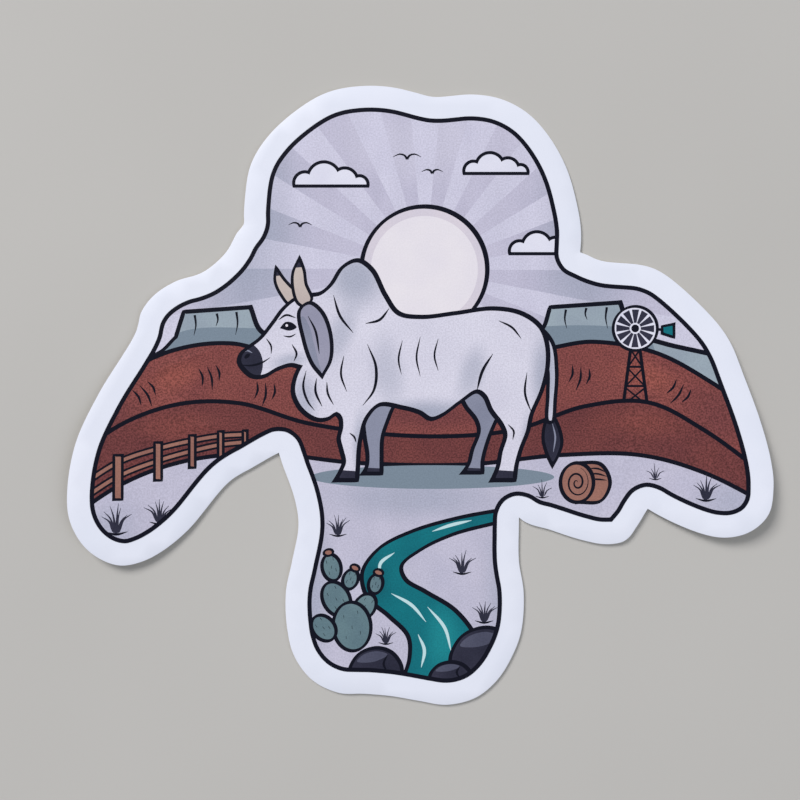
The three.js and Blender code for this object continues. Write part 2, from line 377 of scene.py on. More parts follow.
class Nodes:
    """Makes and joins the nodes of one material."""

    def __init__(self, name):
        self.material = bpy.data.materials.new(name)
        self.material.use_nodes = True
        self.tree = self.material.node_tree
        self.shader = self.tree.nodes["Principled BSDF"]
        self.place = self.add("ShaderNodeTexCoord").outputs["Object"]

    def add(self, kind, **settings):
        """A new node with these settings."""
        node = self.tree.nodes.new(kind)
        for key, value in settings.items():
            setattr(node, key, value)
        return node

    def join(self, source, target):
        self.tree.links.new(source, target)

    def noise(self, size, detail, stretch=(1, 1, 1), roughness=0.5):
        """Noise with features of this size in millimetres, from 0 to 1."""
        mapping = self.add("ShaderNodeMapping")
        mapping.inputs["Scale"].default_value = stretch
        self.join(self.place, mapping.inputs["Vector"])
        noise = self.add("ShaderNodeTexNoise")
        noise.inputs["Scale"].default_value = 1 / (size * MM)
        noise.inputs["Detail"].default_value = detail
        noise.inputs["Roughness"].default_value = roughness
        self.join(mapping.outputs["Vector"], noise.inputs["Vector"])
        return noise.outputs["Fac"]

    def ranged(self, value, low, high, to_low=0.0, to_high=1.0, smooth=False):
        """The value, taken from one range to another and held inside it."""
        node = self.add("ShaderNodeMapRange")
        if smooth:
            node.interpolation_type = "SMOOTHSTEP"
        limits = {"From Min": low, "From Max": high, "To Min": to_low, "To Max": to_high}
        for name, number in limits.items():
            node.inputs[name].default_value = number
        self.join(value, node.inputs["Value"])
        return node.outputs["Result"]

    def mix(self, factor, a, b, blend="MIX"):
        """The colour a with b laid over it by the factor. Each may be a value or a socket."""
        node = self.add("ShaderNodeMix", data_type="RGBA", blend_type=blend)
        for number, value in zip(MIX_INPUTS, (factor, a, b)):
            socket = node.inputs[number]
            if isinstance(value, bpy.types.NodeSocket):
                self.join(value, socket)
            else:
                socket.default_value = value
        return node.outputs[MIX_RESULT]

    def bump(self, size, detail, strength, depth):
        """A rough surface, with bumps of this size and depth in millimetres."""
        node = self.add("ShaderNodeBump")
        node.inputs["Strength"].default_value = strength
        node.inputs["Distance"].default_value = depth * MM
        self.join(self.noise(size, detail), node.inputs["Height"])
        self.join(node.outputs["Normal"], self.shader.inputs["Normal"])

    def spot(self, middle, radii, turn=0):
        """1 in the middle of a soft ellipse given in millimetres, and 0 from its edge outwards."""
        mapping = self.add("ShaderNodeMapping", vector_type="TEXTURE")
        mapping.inputs["Location"].default_value = (middle[0] * MM, middle[1] * MM, 0)
        mapping.inputs["Rotation"].default_value = (0, 0, math.radians(turn))
        mapping.inputs["Scale"].default_value = (radii[0] * MM, radii[1] * MM, 1)
        self.join(self.place, mapping.inputs["Vector"])
        length = self.add("ShaderNodeVectorMath", operation="LENGTH")
        self.join(mapping.outputs["Vector"], length.inputs[0])
        return self.ranged(length.outputs["Value"], 0.15, 1, 1, 0, smooth=True)


def printed_ink(name, colour, grain, cloud=None, soft=(), streak=0.0):
    """Printed ink under a satin film, speckled by grain and streaked by streak. It clouds over
    towards a second colour, and soft is a list of airbrushed spots: (colour, middle, radii,
    strength, turn)."""
    nodes = Nodes(name)
    base = srgb(*colour)
    if cloud:
        clouds = nodes.ranged(nodes.noise(size=6, detail=3), 0.35, 0.7)
        base = nodes.mix(clouds, base, srgb(*cloud))
    for tone, middle, radii, strength, *turn in soft:
        spot = nodes.spot(middle, radii, *turn)
        weak = nodes.ranged(spot, 0, 1, 0, strength)
        base = nodes.mix(weak, base, srgb(*tone))
    if streak:
        bands = nodes.noise(size=2.2, detail=3, stretch=(1, 0.1, 1))
        streaks = nodes.ranged(bands, 0.3, 0.7, 1 - streak, 1 + streak)
        base = nodes.mix(1.0, base, streaks, "MULTIPLY")
    speckle = nodes.noise(size=GRAIN, detail=1)
    speckle = nodes.ranged(speckle, 0.35, 0.65, 1 - grain, 1 + grain)
    nodes.join(nodes.mix(1.0, base, speckle, "MULTIPLY"), nodes.shader.inputs["Base Color"])
    laminate(nodes)
    return nodes.material


def laminate(nodes):
    """The satin surface of the clear film over the print and the border."""
    nodes.shader.inputs["Roughness"].default_value = 0.38
    nodes.shader.inputs["IOR"].default_value = 1.48
    nodes.shader.inputs["Specular IOR Level"].default_value = 0.2
    nodes.bump(size=0.3, detail=2, strength=0.25, depth=0.02)


def white_vinyl():
    """The white film that the picture is printed on."""
    nodes = Nodes("white_vinyl")
    tone = nodes.ranged(nodes.noise(size=9, detail=2), 0.3, 0.7)
    white = nodes.mix(tone, srgb(226, 230, 244), srgb(230, 233, 246))
    nodes.join(white, nodes.shader.inputs["Base Color"])
    laminate(nodes)
    return nodes.material


def release_paper():
    """The coated backing paper: short fibres, a slight cloudiness and a dull surface."""
    nodes = Nodes("release_paper")
    cloud = nodes.ranged(nodes.noise(size=5, detail=4), 0.3, 0.7)
    base = nodes.mix(cloud, srgb(233, 228, 212), srgb(224, 218, 200))
    fibres = nodes.noise(size=0.5, detail=4, stretch=(1, 0.3, 1), roughness=0.7)
    fibre = nodes.ranged(fibres, 0.3, 0.7, 0.95, 1.03)
    nodes.join(nodes.mix(1.0, base, fibre, "MULTIPLY"), nodes.shader.inputs["Base Color"])
    nodes.shader.inputs["Roughness"].default_value = 0.75
    nodes.bump(size=0.35, detail=3, strength=0.4, depth=0.03)
    return nodes.material


# The cow's place on the print, and its size
COW_PLACE = (-1.0, -10.8)
COW_SIZE = 1.2


def cow_point(x, y):
    """The place of a point given in the cow's own millimetres, over the line of its hooves."""
    return (COW_PLACE[0] + COW_SIZE * x, COW_PLACE[1] + COW_SIZE * y)


# The tones that shade the pale inks and the brown ones, and those that light the brown ones
SHADE = (156, 162, 182)
BROWN_SHADE = (104, 57, 60)
BROWN_LIT = (148, 82, 73)
BROWN_LIT_NEAR = (129, 70, 65)

# The inks, as what printed_ink takes
INKS = {
    "keyline": dict(colour=(6, 8, 26), grain=0.02),
    "sky": dict(
        colour=(188, 185, 207),
        cloud=(195, 192, 213),
        soft=[
            (SHADE, (-22, 22), (10, 24), 0.85),
            (SHADE, (21, 20), (9, 22), 0.75),
            ((206, 204, 222), (0, 32), (16, 7), 0.5),
        ],
        grain=0.08,
        streak=0.03,
    ),
    "ray": dict(
        colour=(206, 204, 224),
        cloud=(200, 198, 219),
        soft=[(SHADE, (-23, 22), (9, 22), 0.5), (SHADE, (22, 20), (8, 20), 0.45)],
        grain=0.08,
        streak=0.03,
    ),
    "sun": dict(colour=(217, 209, 220), cloud=(209, 203, 217), grain=0.03),
    "sun_core": dict(colour=(232, 227, 234), cloud=(226, 221, 231), grain=0.02),
    "cloud": dict(colour=(225, 225, 240), cloud=(214, 214, 232), grain=0.02),
    "mesa": dict(colour=(154, 168, 179), cloud=(143, 155, 170), grain=0.05),
    "mesa_shade": dict(colour=(122, 137, 152), grain=0.05),
    "hill_far": dict(
        colour=(132, 73, 69),
        cloud=(119, 64, 64),
        soft=[
            (BROWN_LIT, (-31, 2.4), (5, 2.6), 0.7, 20),
            (BROWN_LIT, (29, 2.4), (6, 2.6), 0.7, -15),
            (BROWN_SHADE, (-40, -3), (6, 6), 0.7),
            (BROWN_SHADE, (38, -2), (6, 6), 0.6),
            (BROWN_SHADE, (0, -2.4), (16, 2.2), 0.6),
        ],
        grain=0.34,
    ),
    "hill_near": dict(
        colour=(113, 61, 60),
        cloud=(101, 54, 56),
        soft=[
            (BROWN_LIT_NEAR, (-30, -4), (8, 2.6), 0.6, 4),
            (BROWN_LIT_NEAR, (28, -3.6), (8, 2.6), 0.6, -4),
        ],
        grain=0.34,
    ),
    "pasture": dict(
        colour=(194, 191, 211),
        cloud=(186, 184, 205),
        soft=[
            (SHADE, (-1, -13), (15, 4), 0.6),
            (SHADE, (-14, -24), (4, 14), 0.6),
            (SHADE, (11, -24), (4, 14), 0.55),
            (SHADE, (-40, -18), (6, 6), 0.5),
            (SHADE, (40, -14), (7, 5), 0.5),
        ],
        grain=0.08,
        streak=0.02,
    ),
    "creek": dict(
        colour=(14, 116, 127),
        cloud=(9, 102, 115),
        soft=[((30, 140, 148), (3, -31), (3, 6), 0.6), ((6, 80, 96), (-6, -24), (3, 5), 0.6)],
        grain=0.09,
    ),
    "glint": dict(colour=(190, 221, 226), grain=0.02),
    "cow": dict(
        colour=(216, 214, 230),
        cloud=(208, 206, 223),
        soft=[
            (SHADE, cow_point(-6.0, 21.4), (5.6, 5.4), 0.75),
            (SHADE, cow_point(-7.6, 15.4), (2.4, 6.0), 0.5, -24),
            (SHADE, cow_point(-11.4, 8.6), (2.4, 4.4), 0.6),
            (SHADE, cow_point(-2.6, 11.6), (3.0, 6.6), 0.38, 8),
            (SHADE, cow_point(1.4, 7.0), (10, 2.6), 0.8),
            (SHADE, cow_point(6.4, 11.4), (2.4, 5.0), 0.5, -18),
            (SHADE, cow_point(14.2, 11.0), (2.8, 8.0), 0.75),
            (SHADE, cow_point(12.4, 3.4), (1.5, 6.0), 0.7),
            (SHADE, cow_point(-5.4, 3.8), (1.5, 5.6), 0.7),
            (SHADE, cow_point(-13.0, 12.6), (3.4, 1.5), 0.6, 12),
        ],
        grain=0.08,
    ),
    "cow_far": dict(colour=(140, 144, 165), cloud=(130, 134, 155), grain=0.05),
    "cow_ear": dict(colour=(158, 157, 178), cloud=(146, 146, 168), grain=0.04),
    "charcoal": dict(colour=(50, 50, 68), cloud=(34, 35, 52), grain=0.12),
    "stone_light": dict(colour=(84, 86, 106), cloud=(70, 72, 92), grain=0.08),
    "horn": dict(colour=(202, 190, 184), cloud=(186, 172, 170), grain=0.03),
    "cactus": dict(colour=(104, 130, 138), cloud=(90, 114, 126), grain=0.07),
    "straw": dict(colour=(160, 114, 101), cloud=(143, 99, 90), grain=0.09),
}


# The picture, from the back to the front

SUN = (0.6, 16.0)
SUN_RADIUS = 8.0
SUN_RIM = 1.2
RAYS = 17
RAY_TURN = 5
FAR_OUT = 60

# Groups of short strokes on the hills, as places and turns
TICKS = ((-35.5, 1.2, 30), (-27, 3.6, 12), (20.5, 3.6, -12), (33.5, 1.4, -35), (-19.6, 1.6, -8))

# A cloud's puffs, as places and radii over its flat base, the points of each puff's arc, and half
# the width of the line round the cloud
PUFFS = ((-2.9, 0.35, 1.3), (-0.7, 0.9, 1.9), (1.7, 0.6, 1.5), (3.4, 0.2, 1.0))
PUFF_POINTS = 24
CLOUD_LINE = 0.21

# The shadow under the cow: its middle and radii
COW_SHADOW = ((COW_PLACE[0] + 2.6, COW_PLACE[1] + 0.4), (15.5, 1.5))

# Boulders: place, half width and height
BOULDERS = ((-5.6, -35.0, 3.4, 2.9), (8.2, -33.4, 4.4, 3.9), (3.9, -35.8, 2.7, 1.9))

# Clumps of grass: place, size, number of blades, and the seed of their small differences
GRASS = (
    (-4.3, -31.4, 2.2, 7, 2),
    (8.2, -28.6, 2.8, 7, 4),
    (5.4, -22.4, 2.8, 7, 5),
    (-10.4, -17.6, 2.6, 7, 6),
    (15.6, -12.8, 2.0, 5, 7),
    (-33.0, -16.0, 3.0, 7, 8),
    (-38.4, -17.2, 3.4, 7, 9),
    (36.2, -13.0, 3.0, 7, 10),
    (29.9, -10.5, 1.8, 5, 11),
)

# A clump's blades: how far the outer ones lean, and how much the leans and the heights vary
LEAN_SPREAD = 1.9
LEAN_VARIES = 0.12
HEIGHT_VARIES = (0.85, 1.1)


def draw_sky():
    """A low sun behind the cow with broad rays that fan out over the sky, clouds and birds."""
    shape(square(FAR_OUT), "sky")
    spread = math.radians(360 / RAYS / 4)
    for ray in range(RAYS):
        angle = math.radians(360 * ray / RAYS + RAY_TURN)
        fan = [SUN]
        for side in (-spread, spread):
            reach = (math.cos(angle + side), math.sin(angle + side))
            fan.append((SUN[0] + FAR_OUT * reach[0], SUN[1] + FAR_OUT * reach[1]))
        shape(fan, "ray")
    keyed_loop(ellipse(SUN, (SUN_RADIUS, SUN_RADIUS)), "sun")
    shape(ellipse(SUN, (SUN_RADIUS - SUN_RIM, SUN_RADIUS - SUN_RIM)), "sun_core")
    for x, y, size in ((-11.4, 26.6, 1.1), (9.6, 28.2, 0.95), (15.6, 18.0, 1.0)):
        draw_cloud(x, y, size)
    for x, y, size in ((-1.6, 30.0, 1.2), (1.6, 28.2, 0.9), (-15.2, 21.4, 1.0)):
        draw_bird(x, y, size)


def draw_cloud(x, y, size):
    """Puffs on a flat base: all of them in the dark of their line, then lighter and smaller."""
    for ink, by in (("keyline", CLOUD_LINE), ("cloud", -CLOUD_LINE)):
        for across, up, radius in PUFFS:
            middle = (x + size * across, y + size * up)
            shape(half_disc(middle, size * radius + by, y - by), ink)


def half_disc(middle, radius, base):
    """A disc that is cut off flat at a level below its middle."""
    start = math.asin((base - middle[1]) / radius)
    angles = np.linspace(start, math.pi - start, PUFF_POINTS)
    return np.stack([radius * np.cos(angles), radius * np.sin(angles)], 1) + middle


def draw_bird(x, y, size):
    """Two wings that meet at the bird's place."""
    for side in (-1, 1):
        wing = [(0, 0), (0.25 * side, 0.4), (0.8 * side, 0.55), (1.5 * side, 0.25)]
        stroke([(x + size * px, y + size * py) for px, py in wing], 0.32, "end")


def draw_mesas():
    """Flat-topped rocks along the skyline, with a shaded foot, ledges and cracks."""
    left = [(-46, -4), (-46, -4), (-46, 3), (-33.5, 5.2), (-31, 7.4), (-31, 7.4), (-30, 10.6)]
    left += [(-30, 10.6), (-21.5, 11.2), (-21.5, 11.2), (-20.2, 8.2), (-17, 6.9), (-12, 6)]
    left += [(-12, -4), (-12, -4)]
    right = [(12, -4), (12, -4), (12, 7.2), (15.4, 8.2), (16.6, 11.2), (16.6, 11.2), (25.5, 11.8)]
    right += [(25.5, 11.8), (26.4, 9.4), (28.2, 7.6), (31.0, 6.6), (37, 5.2), (46, 3), (46, -4)]
    right.append((46, -4))
    left_ledge = [(-34, 6.6), (-29, 8.4), (-19, 8.5)]
    right_ledge = [(14, 8.7), (21, 8.9), (29, 8.5)]
    for outline, ledge in ((left, left_ledge), (right, right_ledge)):
        rock = keyed(outline, "mesa")
        low = curve(ledge)
        foot = [(low[-1][0] + 4, -4), (low[0][0] - 4, -4)]
        shape(np.concatenate([low, foot]), "mesa_shade", rock)
    cracks = [(-28.6, 10.2, 2.6), (-25.8, 10.4, 1.6), (-23.3, 10.6, 2.9)]
    cracks += [(18.6, 10.9, 2.4), (21.2, 11.1, 1.5), (23.8, 11.2, 2.7)]
    for x, y, drop in cracks:
        side = math.copysign(1, x)
        middle, low = (x - side * 0.15, y - drop / 2), (x + side * 0.1, y - drop)
        stroke([(x, y), middle, low], 0.32, "end")


def cornered(points):
    """The points, each given twice, which makes each one a corner."""
    return [p for p in points for _ in (0, 1)]


def ridge(crest, ink):
    """Ground in one ink below a crest line, which is drawn along its top."""
    line = curve(crest)
    ends = [(line[-1][0], -FAR_OUT), (line[0][0], -FAR_OUT)]
    shape(np.concatenate([line, ends]), ink)
    shape(ribbon(line, KEYLINE, "none"), "keyline")


def draw_hills():
    """Two rows of hills, with the wind-driven pump between them, and the pasture before them."""
    far = [(-46, -3), (-38, 2.6), (-31, 5.8), (-24, 6.6), (-15, 4.6), (-5, 7.4), (5, 7.9)]
    far += [(14, 5.8), (22, 6.8), (30, 5.4), (37, 1.6), (46, -5)]
    ridge(far, "hill_far")
    draw_windpump()
    near = [(-46, -11), (-39, -4.4), (-31, -1.2), (-23, -1.0), (-14, -3.6), (0, -5.2), (12, -4.4)]
    near += [(21, -1.4), (29, -0.9), (36, -4.4), (46, -12)]
    ridge(near, "hill_near")
    for x, y, turn in TICKS:
        draw_ticks(x, y, turn)
    ground = [(-46, -17), (-38, -11.4), (-30, -8.4), (-20, -7.4), (-8, -8.6), (6, -8.8), (18, -7.6)]
    ground += [(28, -7.6), (36, -9.8), (46, -15)]
    ridge(ground, "pasture")


def draw_ticks(x, y, turn):
    """Three short strokes side by side, along a slope."""
    for shift, length in ((-1.1, 2.2), (0, 3.0), (1.1, 2.0)):
        line = turned([(shift, 0), (shift + 0.25, -length / 2), (shift, -length)], turn)
        stroke(line + (x, y), 0.3)


def draw_fence():
    """Posts and two rails that come nearer from the middle to the left."""
    dark_width, wood_width, post_slimness = 0.95, 0.42, 0.19
    posts = [(-38.2, -13.2, 5.6), (-33.2, -10.8, 4.8), (-28.9, -9.2, 4.1), (-25.3, -8.1, 3.5)]
    posts.append((-22.2, -7.5, 3.0))
    for share in (0.52, 0.84):
        rail = [(x, y + share * height) for x, y, height in posts]
        rail = [(rail[0][0] - 6, rail[0][1] - 4), *rail]
        shape(ribbon(curve(rail), dark_width, "none"), "keyline")
        shape(ribbon(curve(rail), wood_width, "none"), "straw")
    for x, y, height in posts:
        width = post_slimness * height
        left, right, top = x - width / 2, x + width / 2, y + height
        keyed(cornered([(left, y), (right, y), (right, top), (left, top)]), "straw", 0.34)


def draw_windpump():
    """A wind-driven pump behind the near hill: a braced tower, a wheel of blades and a tail."""
    foot, hub = (27.4, -2.6), (27.4, 8.5)
    foot_half, top_half, wheel, boss, blades = 1.7, 0.25, 2.8, 0.5, 12
    legs = [
        [(foot[0] + side * foot_half, foot[1]), (hub[0] + side * top_half, hub[1])]
        for side in (-1, 1)
    ]
    for leg in legs:
        stroke(leg, 0.42, "none")
    for level in (0.12, 0.34, 0.56):
        low = [leg_point(leg, level) for leg in legs]
        high = [leg_point(leg, level + 0.2) for leg in legs]
        stroke(low, 0.28, "none")
        for ends in ((low[0], high[1]), (low[1], high[0])):
            stroke(ends, 0.22, "none")
    stroke([hub, (hub[0] + 4.2, hub[1] - 0.2)], 0.36, "none")
    tail = [(3.4, 0.25), (4.9, 0.55), (4.9, -1.15), (3.4, -0.65)]
    keyed(np.array(cornered(tail)) + hub, "creek", 0.34)
    keyed_loop(ellipse(hub, (wheel, wheel)), "cloud", 0.36)
    outline = [(0.7, -0.16), (2.4, -0.5), (2.4, 0.42), (0.7, 0.16)]
    for blade in range(blades):
        shape(turned(outline, 360 / blades * blade) + hub, "charcoal")
    shape(ellipse(hub, (boss, boss), step=0.2), "keyline")


def leg_point(leg, share):
    """The point at this share of the way from a leg's foot to its top."""
    (x0, y0), (x1, y1) = leg
    return (x0 + (x1 - x0) * share, y0 + (y1 - y0) * share)


def draw_bale():
    """A round hay bale on the pasture, seen a little from its end."""
    middle, wide, tall, length = (20.0, -11.1), 2.1, 2.5, 4.2
    side = [(0, 1), (0, 1), (0.72, 0.93), (1, 0), (0.72, -0.93), (0, -1), (0, -1)]
    keyed(np.array(side) * (length, tall) + middle, "straw", 0.45)
    for reach in (0.72, 0.45, 0.17):
        line = [(0.36, reach), (0.64, reach * 0.98), (0.9, reach * 0.7)]
        stroke(np.array(line) * (length, tall) + middle, 0.24)
    keyed_loop(ellipse(middle, (wide, tall)), "straw", 0.45)
    angles = np.linspace(0.6, 4.4 * math.pi, 60)
    coil = np.stack([np.cos(angles), np.sin(angles)], 1) * (angles / angles[-1])[:, None]
    coil_radii = (0.74 * wide, 0.78 * tall)
    shape(ribbon(coil * coil_radii + middle, 0.26), "keyline")


def draw_creek():
    """A creek that winds down the sheet's lowest lobe, wider as it comes nearer."""
    far = [(13.2, -14.2), (13.2, -14.2), (9, -14.8), (4.4, -15.7), (-1, -17.3), (-5.2, -19.5)]
    far += [(-7.3, -22.5), (-6.7, -25.6), (-3.9, -28.1), (-1.5, -30.6), (-1.3, -33.4), (-2.4, -37)]
    far += [(-3, -42), (-3, -42)]
    near = [(9, -42), (9, -42), (8.6, -36), (7.4, -31.2), (4.6, -27.4), (0.8, -25.0), (-1.8, -23.4)]
    near += [(-2.3, -21.7), (0.2, -19.6), (4.2, -17.7), (9, -16.4), (13.2, -15.5), (13.2, -15.5)]
    keyed(far + near, "creek", 0.5)
    for line in (
        [(6.6, -15.9), (4.0, -16.5), (1.6, -17.3)],
        [(-3.2, -20.0), (-5.0, -21.4), (-5.0, -23.2)],
        [(-3.6, -25.2), (-1.0, -26.7), (0.8, -28.8)],
        [(1.0, -26.9), (3.2, -29.6), (4.0, -32.6)],
        [(-0.2, -30.4), (0.6, -32.4), (0.2, -34.6)],
    ):
        stroke(line, 0.42, ink="glint")


def draw_boulder(x, y, width, height):
    """A rock with a lit top and a crack, with its foot in the ground."""
    size, place = (width, height), (x, y)
    edge = [(-1, -0.5), (-1, -0.5), (-0.95, 0.15), (-0.6, 0.75), (0.05, 1), (0.6, 0.8)]
    edge += [(0.95, 0.25), (1, -0.5), (1, -0.5)]
    rock = keyed(np.array(edge) * size + place, "charcoal", 0.45)
    lit = [(-0.7, 0.4), (-0.45, 0.7), (0.05, 0.85), (0.45, 0.7), (0.1, 0.45), (-0.3, 0.35)]
    shape(curve(np.array(lit) * size + place, closed=True), "stone_light", rock)
    crack = [(0.45, 0.7), (0.3, 0.3), (0.45, -0.1)]
    stroke(np.array(crack) * size + place, 0.3, within=rock)


def draw_grass(x, y, size, blades, seed):
    """A clump of tapered blades that fan out from one foot."""
    rng = np.random.default_rng(seed)
    for blade in range(blades):
        spread = (blade / (blades - 1) - 0.5) * LEAN_SPREAD
        lean = spread + rng.uniform(-LEAN_VARIES, LEAN_VARIES)
        height = size * (1 - 0.35 * abs(lean)) * rng.uniform(*HEIGHT_VARIES)
        foot = (x + lean * size * 0.13, y + 0.1 * size * (lean**2 - 1))
        line = [
            foot,
            (foot[0] + lean * height * 0.25, y + height * 0.55),
            (foot[0] + lean * height * 0.75, y + height * (1 - 0.18 * abs(lean))),
        ]
        stroke(line, 0.12 * size, "blade", "charcoal")
    foot = np.array([(-0.42, -0.02), (0, -0.12), (0.42, -0.02)]) * size + (x, y)
    stroke(foot, 0.09 * size)


def draw_cactus():
    """A clump of prickly pear: flat oval pads with short spines, some with a fruit on top. The
    pads are listed by their middle, radii and turn, and by whether they bear a fruit."""
    spine_length, fruit_radii, fruit_rise = 0.42, (0.6, 0.42), 0.25
    spine_feet = ((-0.4, 0.35), (0.35, 0.5), (0.0, -0.1), (-0.35, -0.5), (0.42, -0.35))
    pads = [
        ((-10.6, -25.9), (1.7, 2.3), 28, False),
        ((-7.0, -26.9), (1.3, 1.8), -34, False),
        ((-11.2, -21.9), (1.2, 1.7), 12, True),
        ((-8.6, -29.4), (2.4, 3.1), 4, False),
        ((-12.2, -29.6), (1.4, 1.8), 40, False),
        ((-5.6, -24.0), (0.9, 1.25), -14, True),
        ((-8.8, -23.4), (0.95, 1.3), -22, True),
    ]
    for middle, radii, turn, _ in pads:
        keyed_loop(ellipse(middle, radii, turn), "cactus", 0.42)
        for px, py in spine_feet:
            foot = (px * radii[0], py * radii[1])
            spine = turned([foot, (foot[0], foot[1] + spine_length)], turn)
            stroke(spine + middle, 0.22)
    for middle, radii, turn, _ in [pad for pad in pads if pad[-1]]:
        top = turned([(0, radii[1] + fruit_rise)], turn)[0] + middle
        keyed_loop(ellipse(top, fruit_radii, turn), "straw", 0.3)


def cow(points):
    """The places of points given in the cow's own millimetres."""
    return [cow_point(x, y) for x, y in points]


def draw_far_legs():
    """The legs of the cow's far side, in the shade of its body."""
    far_fore = [(-5.6, 9), (-5.2, 6.4), (-5.0, 4.6), (-4.7, 2.6), (-4.8, 1.4), (-5.2, 0.7)]
    far_fore += [(-5.2, 0.7), (-3.2, 0.7), (-3.2, 0.7), (-3.2, 2.4), (-3.1, 4.6), (-2.3, 7.0)]
    far_fore.append((-1.6, 9))
    far_hind = [(5.0, 10), (5.6, 8.0), (6.8, 6.4), (7.1, 5.2), (6.4, 3.2), (6.0, 1.7), (5.4, 0.8)]
    far_hind += [(5.4, 0.8), (7.5, 0.8), (7.5, 0.8), (7.5, 2.0), (7.9, 3.7), (8.6, 5.6), (9.8, 8.0)]
    far_hind.append((11, 10))
    for leg, toe, heel in ((far_fore, -5.3, -3.1), (far_hind, 5.3, 7.6)):
        inside = keyed(cow(leg), "cow_far", 0.5)
        shape(cow([(toe, 0.6), (heel, 0.6), (heel, 1.25), (toe, 1.35)]), "charcoal", inside)


def draw_tail():
    """The cow's tail, hanging behind it, with its dark switch."""
    tail = [(13.6, 16.0), (14.9, 14.6), (15.35, 11.6), (15.2, 8.6), (14.9, 6.2), (14.4, 6.2)]
    tail += [(14.4, 9.0), (14.4, 11.6), (13.9, 13.8), (13.2, 14.6)]
    switch = [(14.6, 7.2), (15.5, 5.8), (15.9, 4.0), (15.5, 2.6), (14.9, 1.5), (14.9, 1.5)]
    switch += [(14.3, 2.8), (13.9, 4.4), (14.1, 6.0)]
    keyed(cow(switch), "charcoal", 0.4)
    keyed(cow(tail), "cow", 0.45)
    stroke(cow([(14.9, 6.0), (15.2, 4.6), (15.0, 3.0)]), 0.22, ink="cow_far")


def draw_body():
    """The cow's head, dewlap, near legs, belly, back and hump in one outline, with the hooves of
    the near legs. Returns the number of its inside."""
    face = [(-10.9, 19.6), (-12.2, 19.3), (-13.6, 18.2), (-14.8, 16.6), (-16.1, 15.0)]
    face += [(-17.3, 14.1), (-18.1, 13.4), (-18.3, 12.5), (-17.8, 11.7), (-16.9, 11.0)]
    face += [(-15.7, 11.0), (-14.2, 11.8), (-12.8, 12.2), (-11.9, 12.0), (-11.9, 12.0)]
    dewlap = [(-12.4, 10.8), (-12.6, 9.4), (-12.1, 8.0), (-11.2, 7.0), (-10.0, 6.4), (-8.9, 6.5)]
    dewlap += [(-8.0, 7.0), (-7.6, 6.6)]
    foreleg = [(-7.5, 5.6), (-7.75, 4.4), (-7.5, 3.3), (-7.2, 1.9), (-7.5, 1.1), (-8.1, 0)]
    foreleg += [(-8.1, 0), (-5.8, 0), (-5.8, 0), (-5.7, 1.6), (-5.6, 3.4), (-5.4, 4.6), (-4.8, 6.6)]
    belly = [(-3.4, 8.0), (-1.0, 7.7), (0.8, 7.2), (2.0, 6.5), (3.2, 6.9), (5.0, 8.2), (6.9, 9.4)]
    hind_leg = [(7.7, 8.9), (8.4, 7.4), (9.5, 5.9), (9.9, 4.8), (9.4, 3.0), (9.1, 1.4), (8.5, 0)]
    hind_leg += [(8.5, 0), (10.9, 0), (10.9, 0), (11.1, 1.6), (11.6, 3.4), (12.3, 5.2)]
    rump = [(12.7, 7.0), (13.8, 9.6), (14.4, 12.2), (14.3, 14.6), (13.6, 16.3)]
    back = [(11.6, 17.7), (8.6, 18.2), (4.6, 17.7), (1.0, 17.3)]
    hump = [(-1.4, 17.7), (-2.8, 19.6), (-4.2, 22.3), (-5.7, 23.3), (-7.3, 22.6), (-8.6, 20.7)]
    hump.append((-9.7, 19.8))
    body = face + dewlap + foreleg + belly + hind_leg + rump + back + hump
    inside = keyed(cow(body), "cow")
    for heel, toe in ((-5.6, -8.4), (11.1, 8.2)):
        shape(cow([(toe, -0.3), (heel, -0.3), (heel, 0.95), (toe + 0.5, 1.1)]), "charcoal", inside)
    return inside


def horn_tip(horn, level):
    """The dark tip of a horn, above a level in the cow's own millimetres."""
    shape(cow([(-16, level), (-9, level + 0.6), (-9, 26), (-16, 26)]), "charcoal", horn)


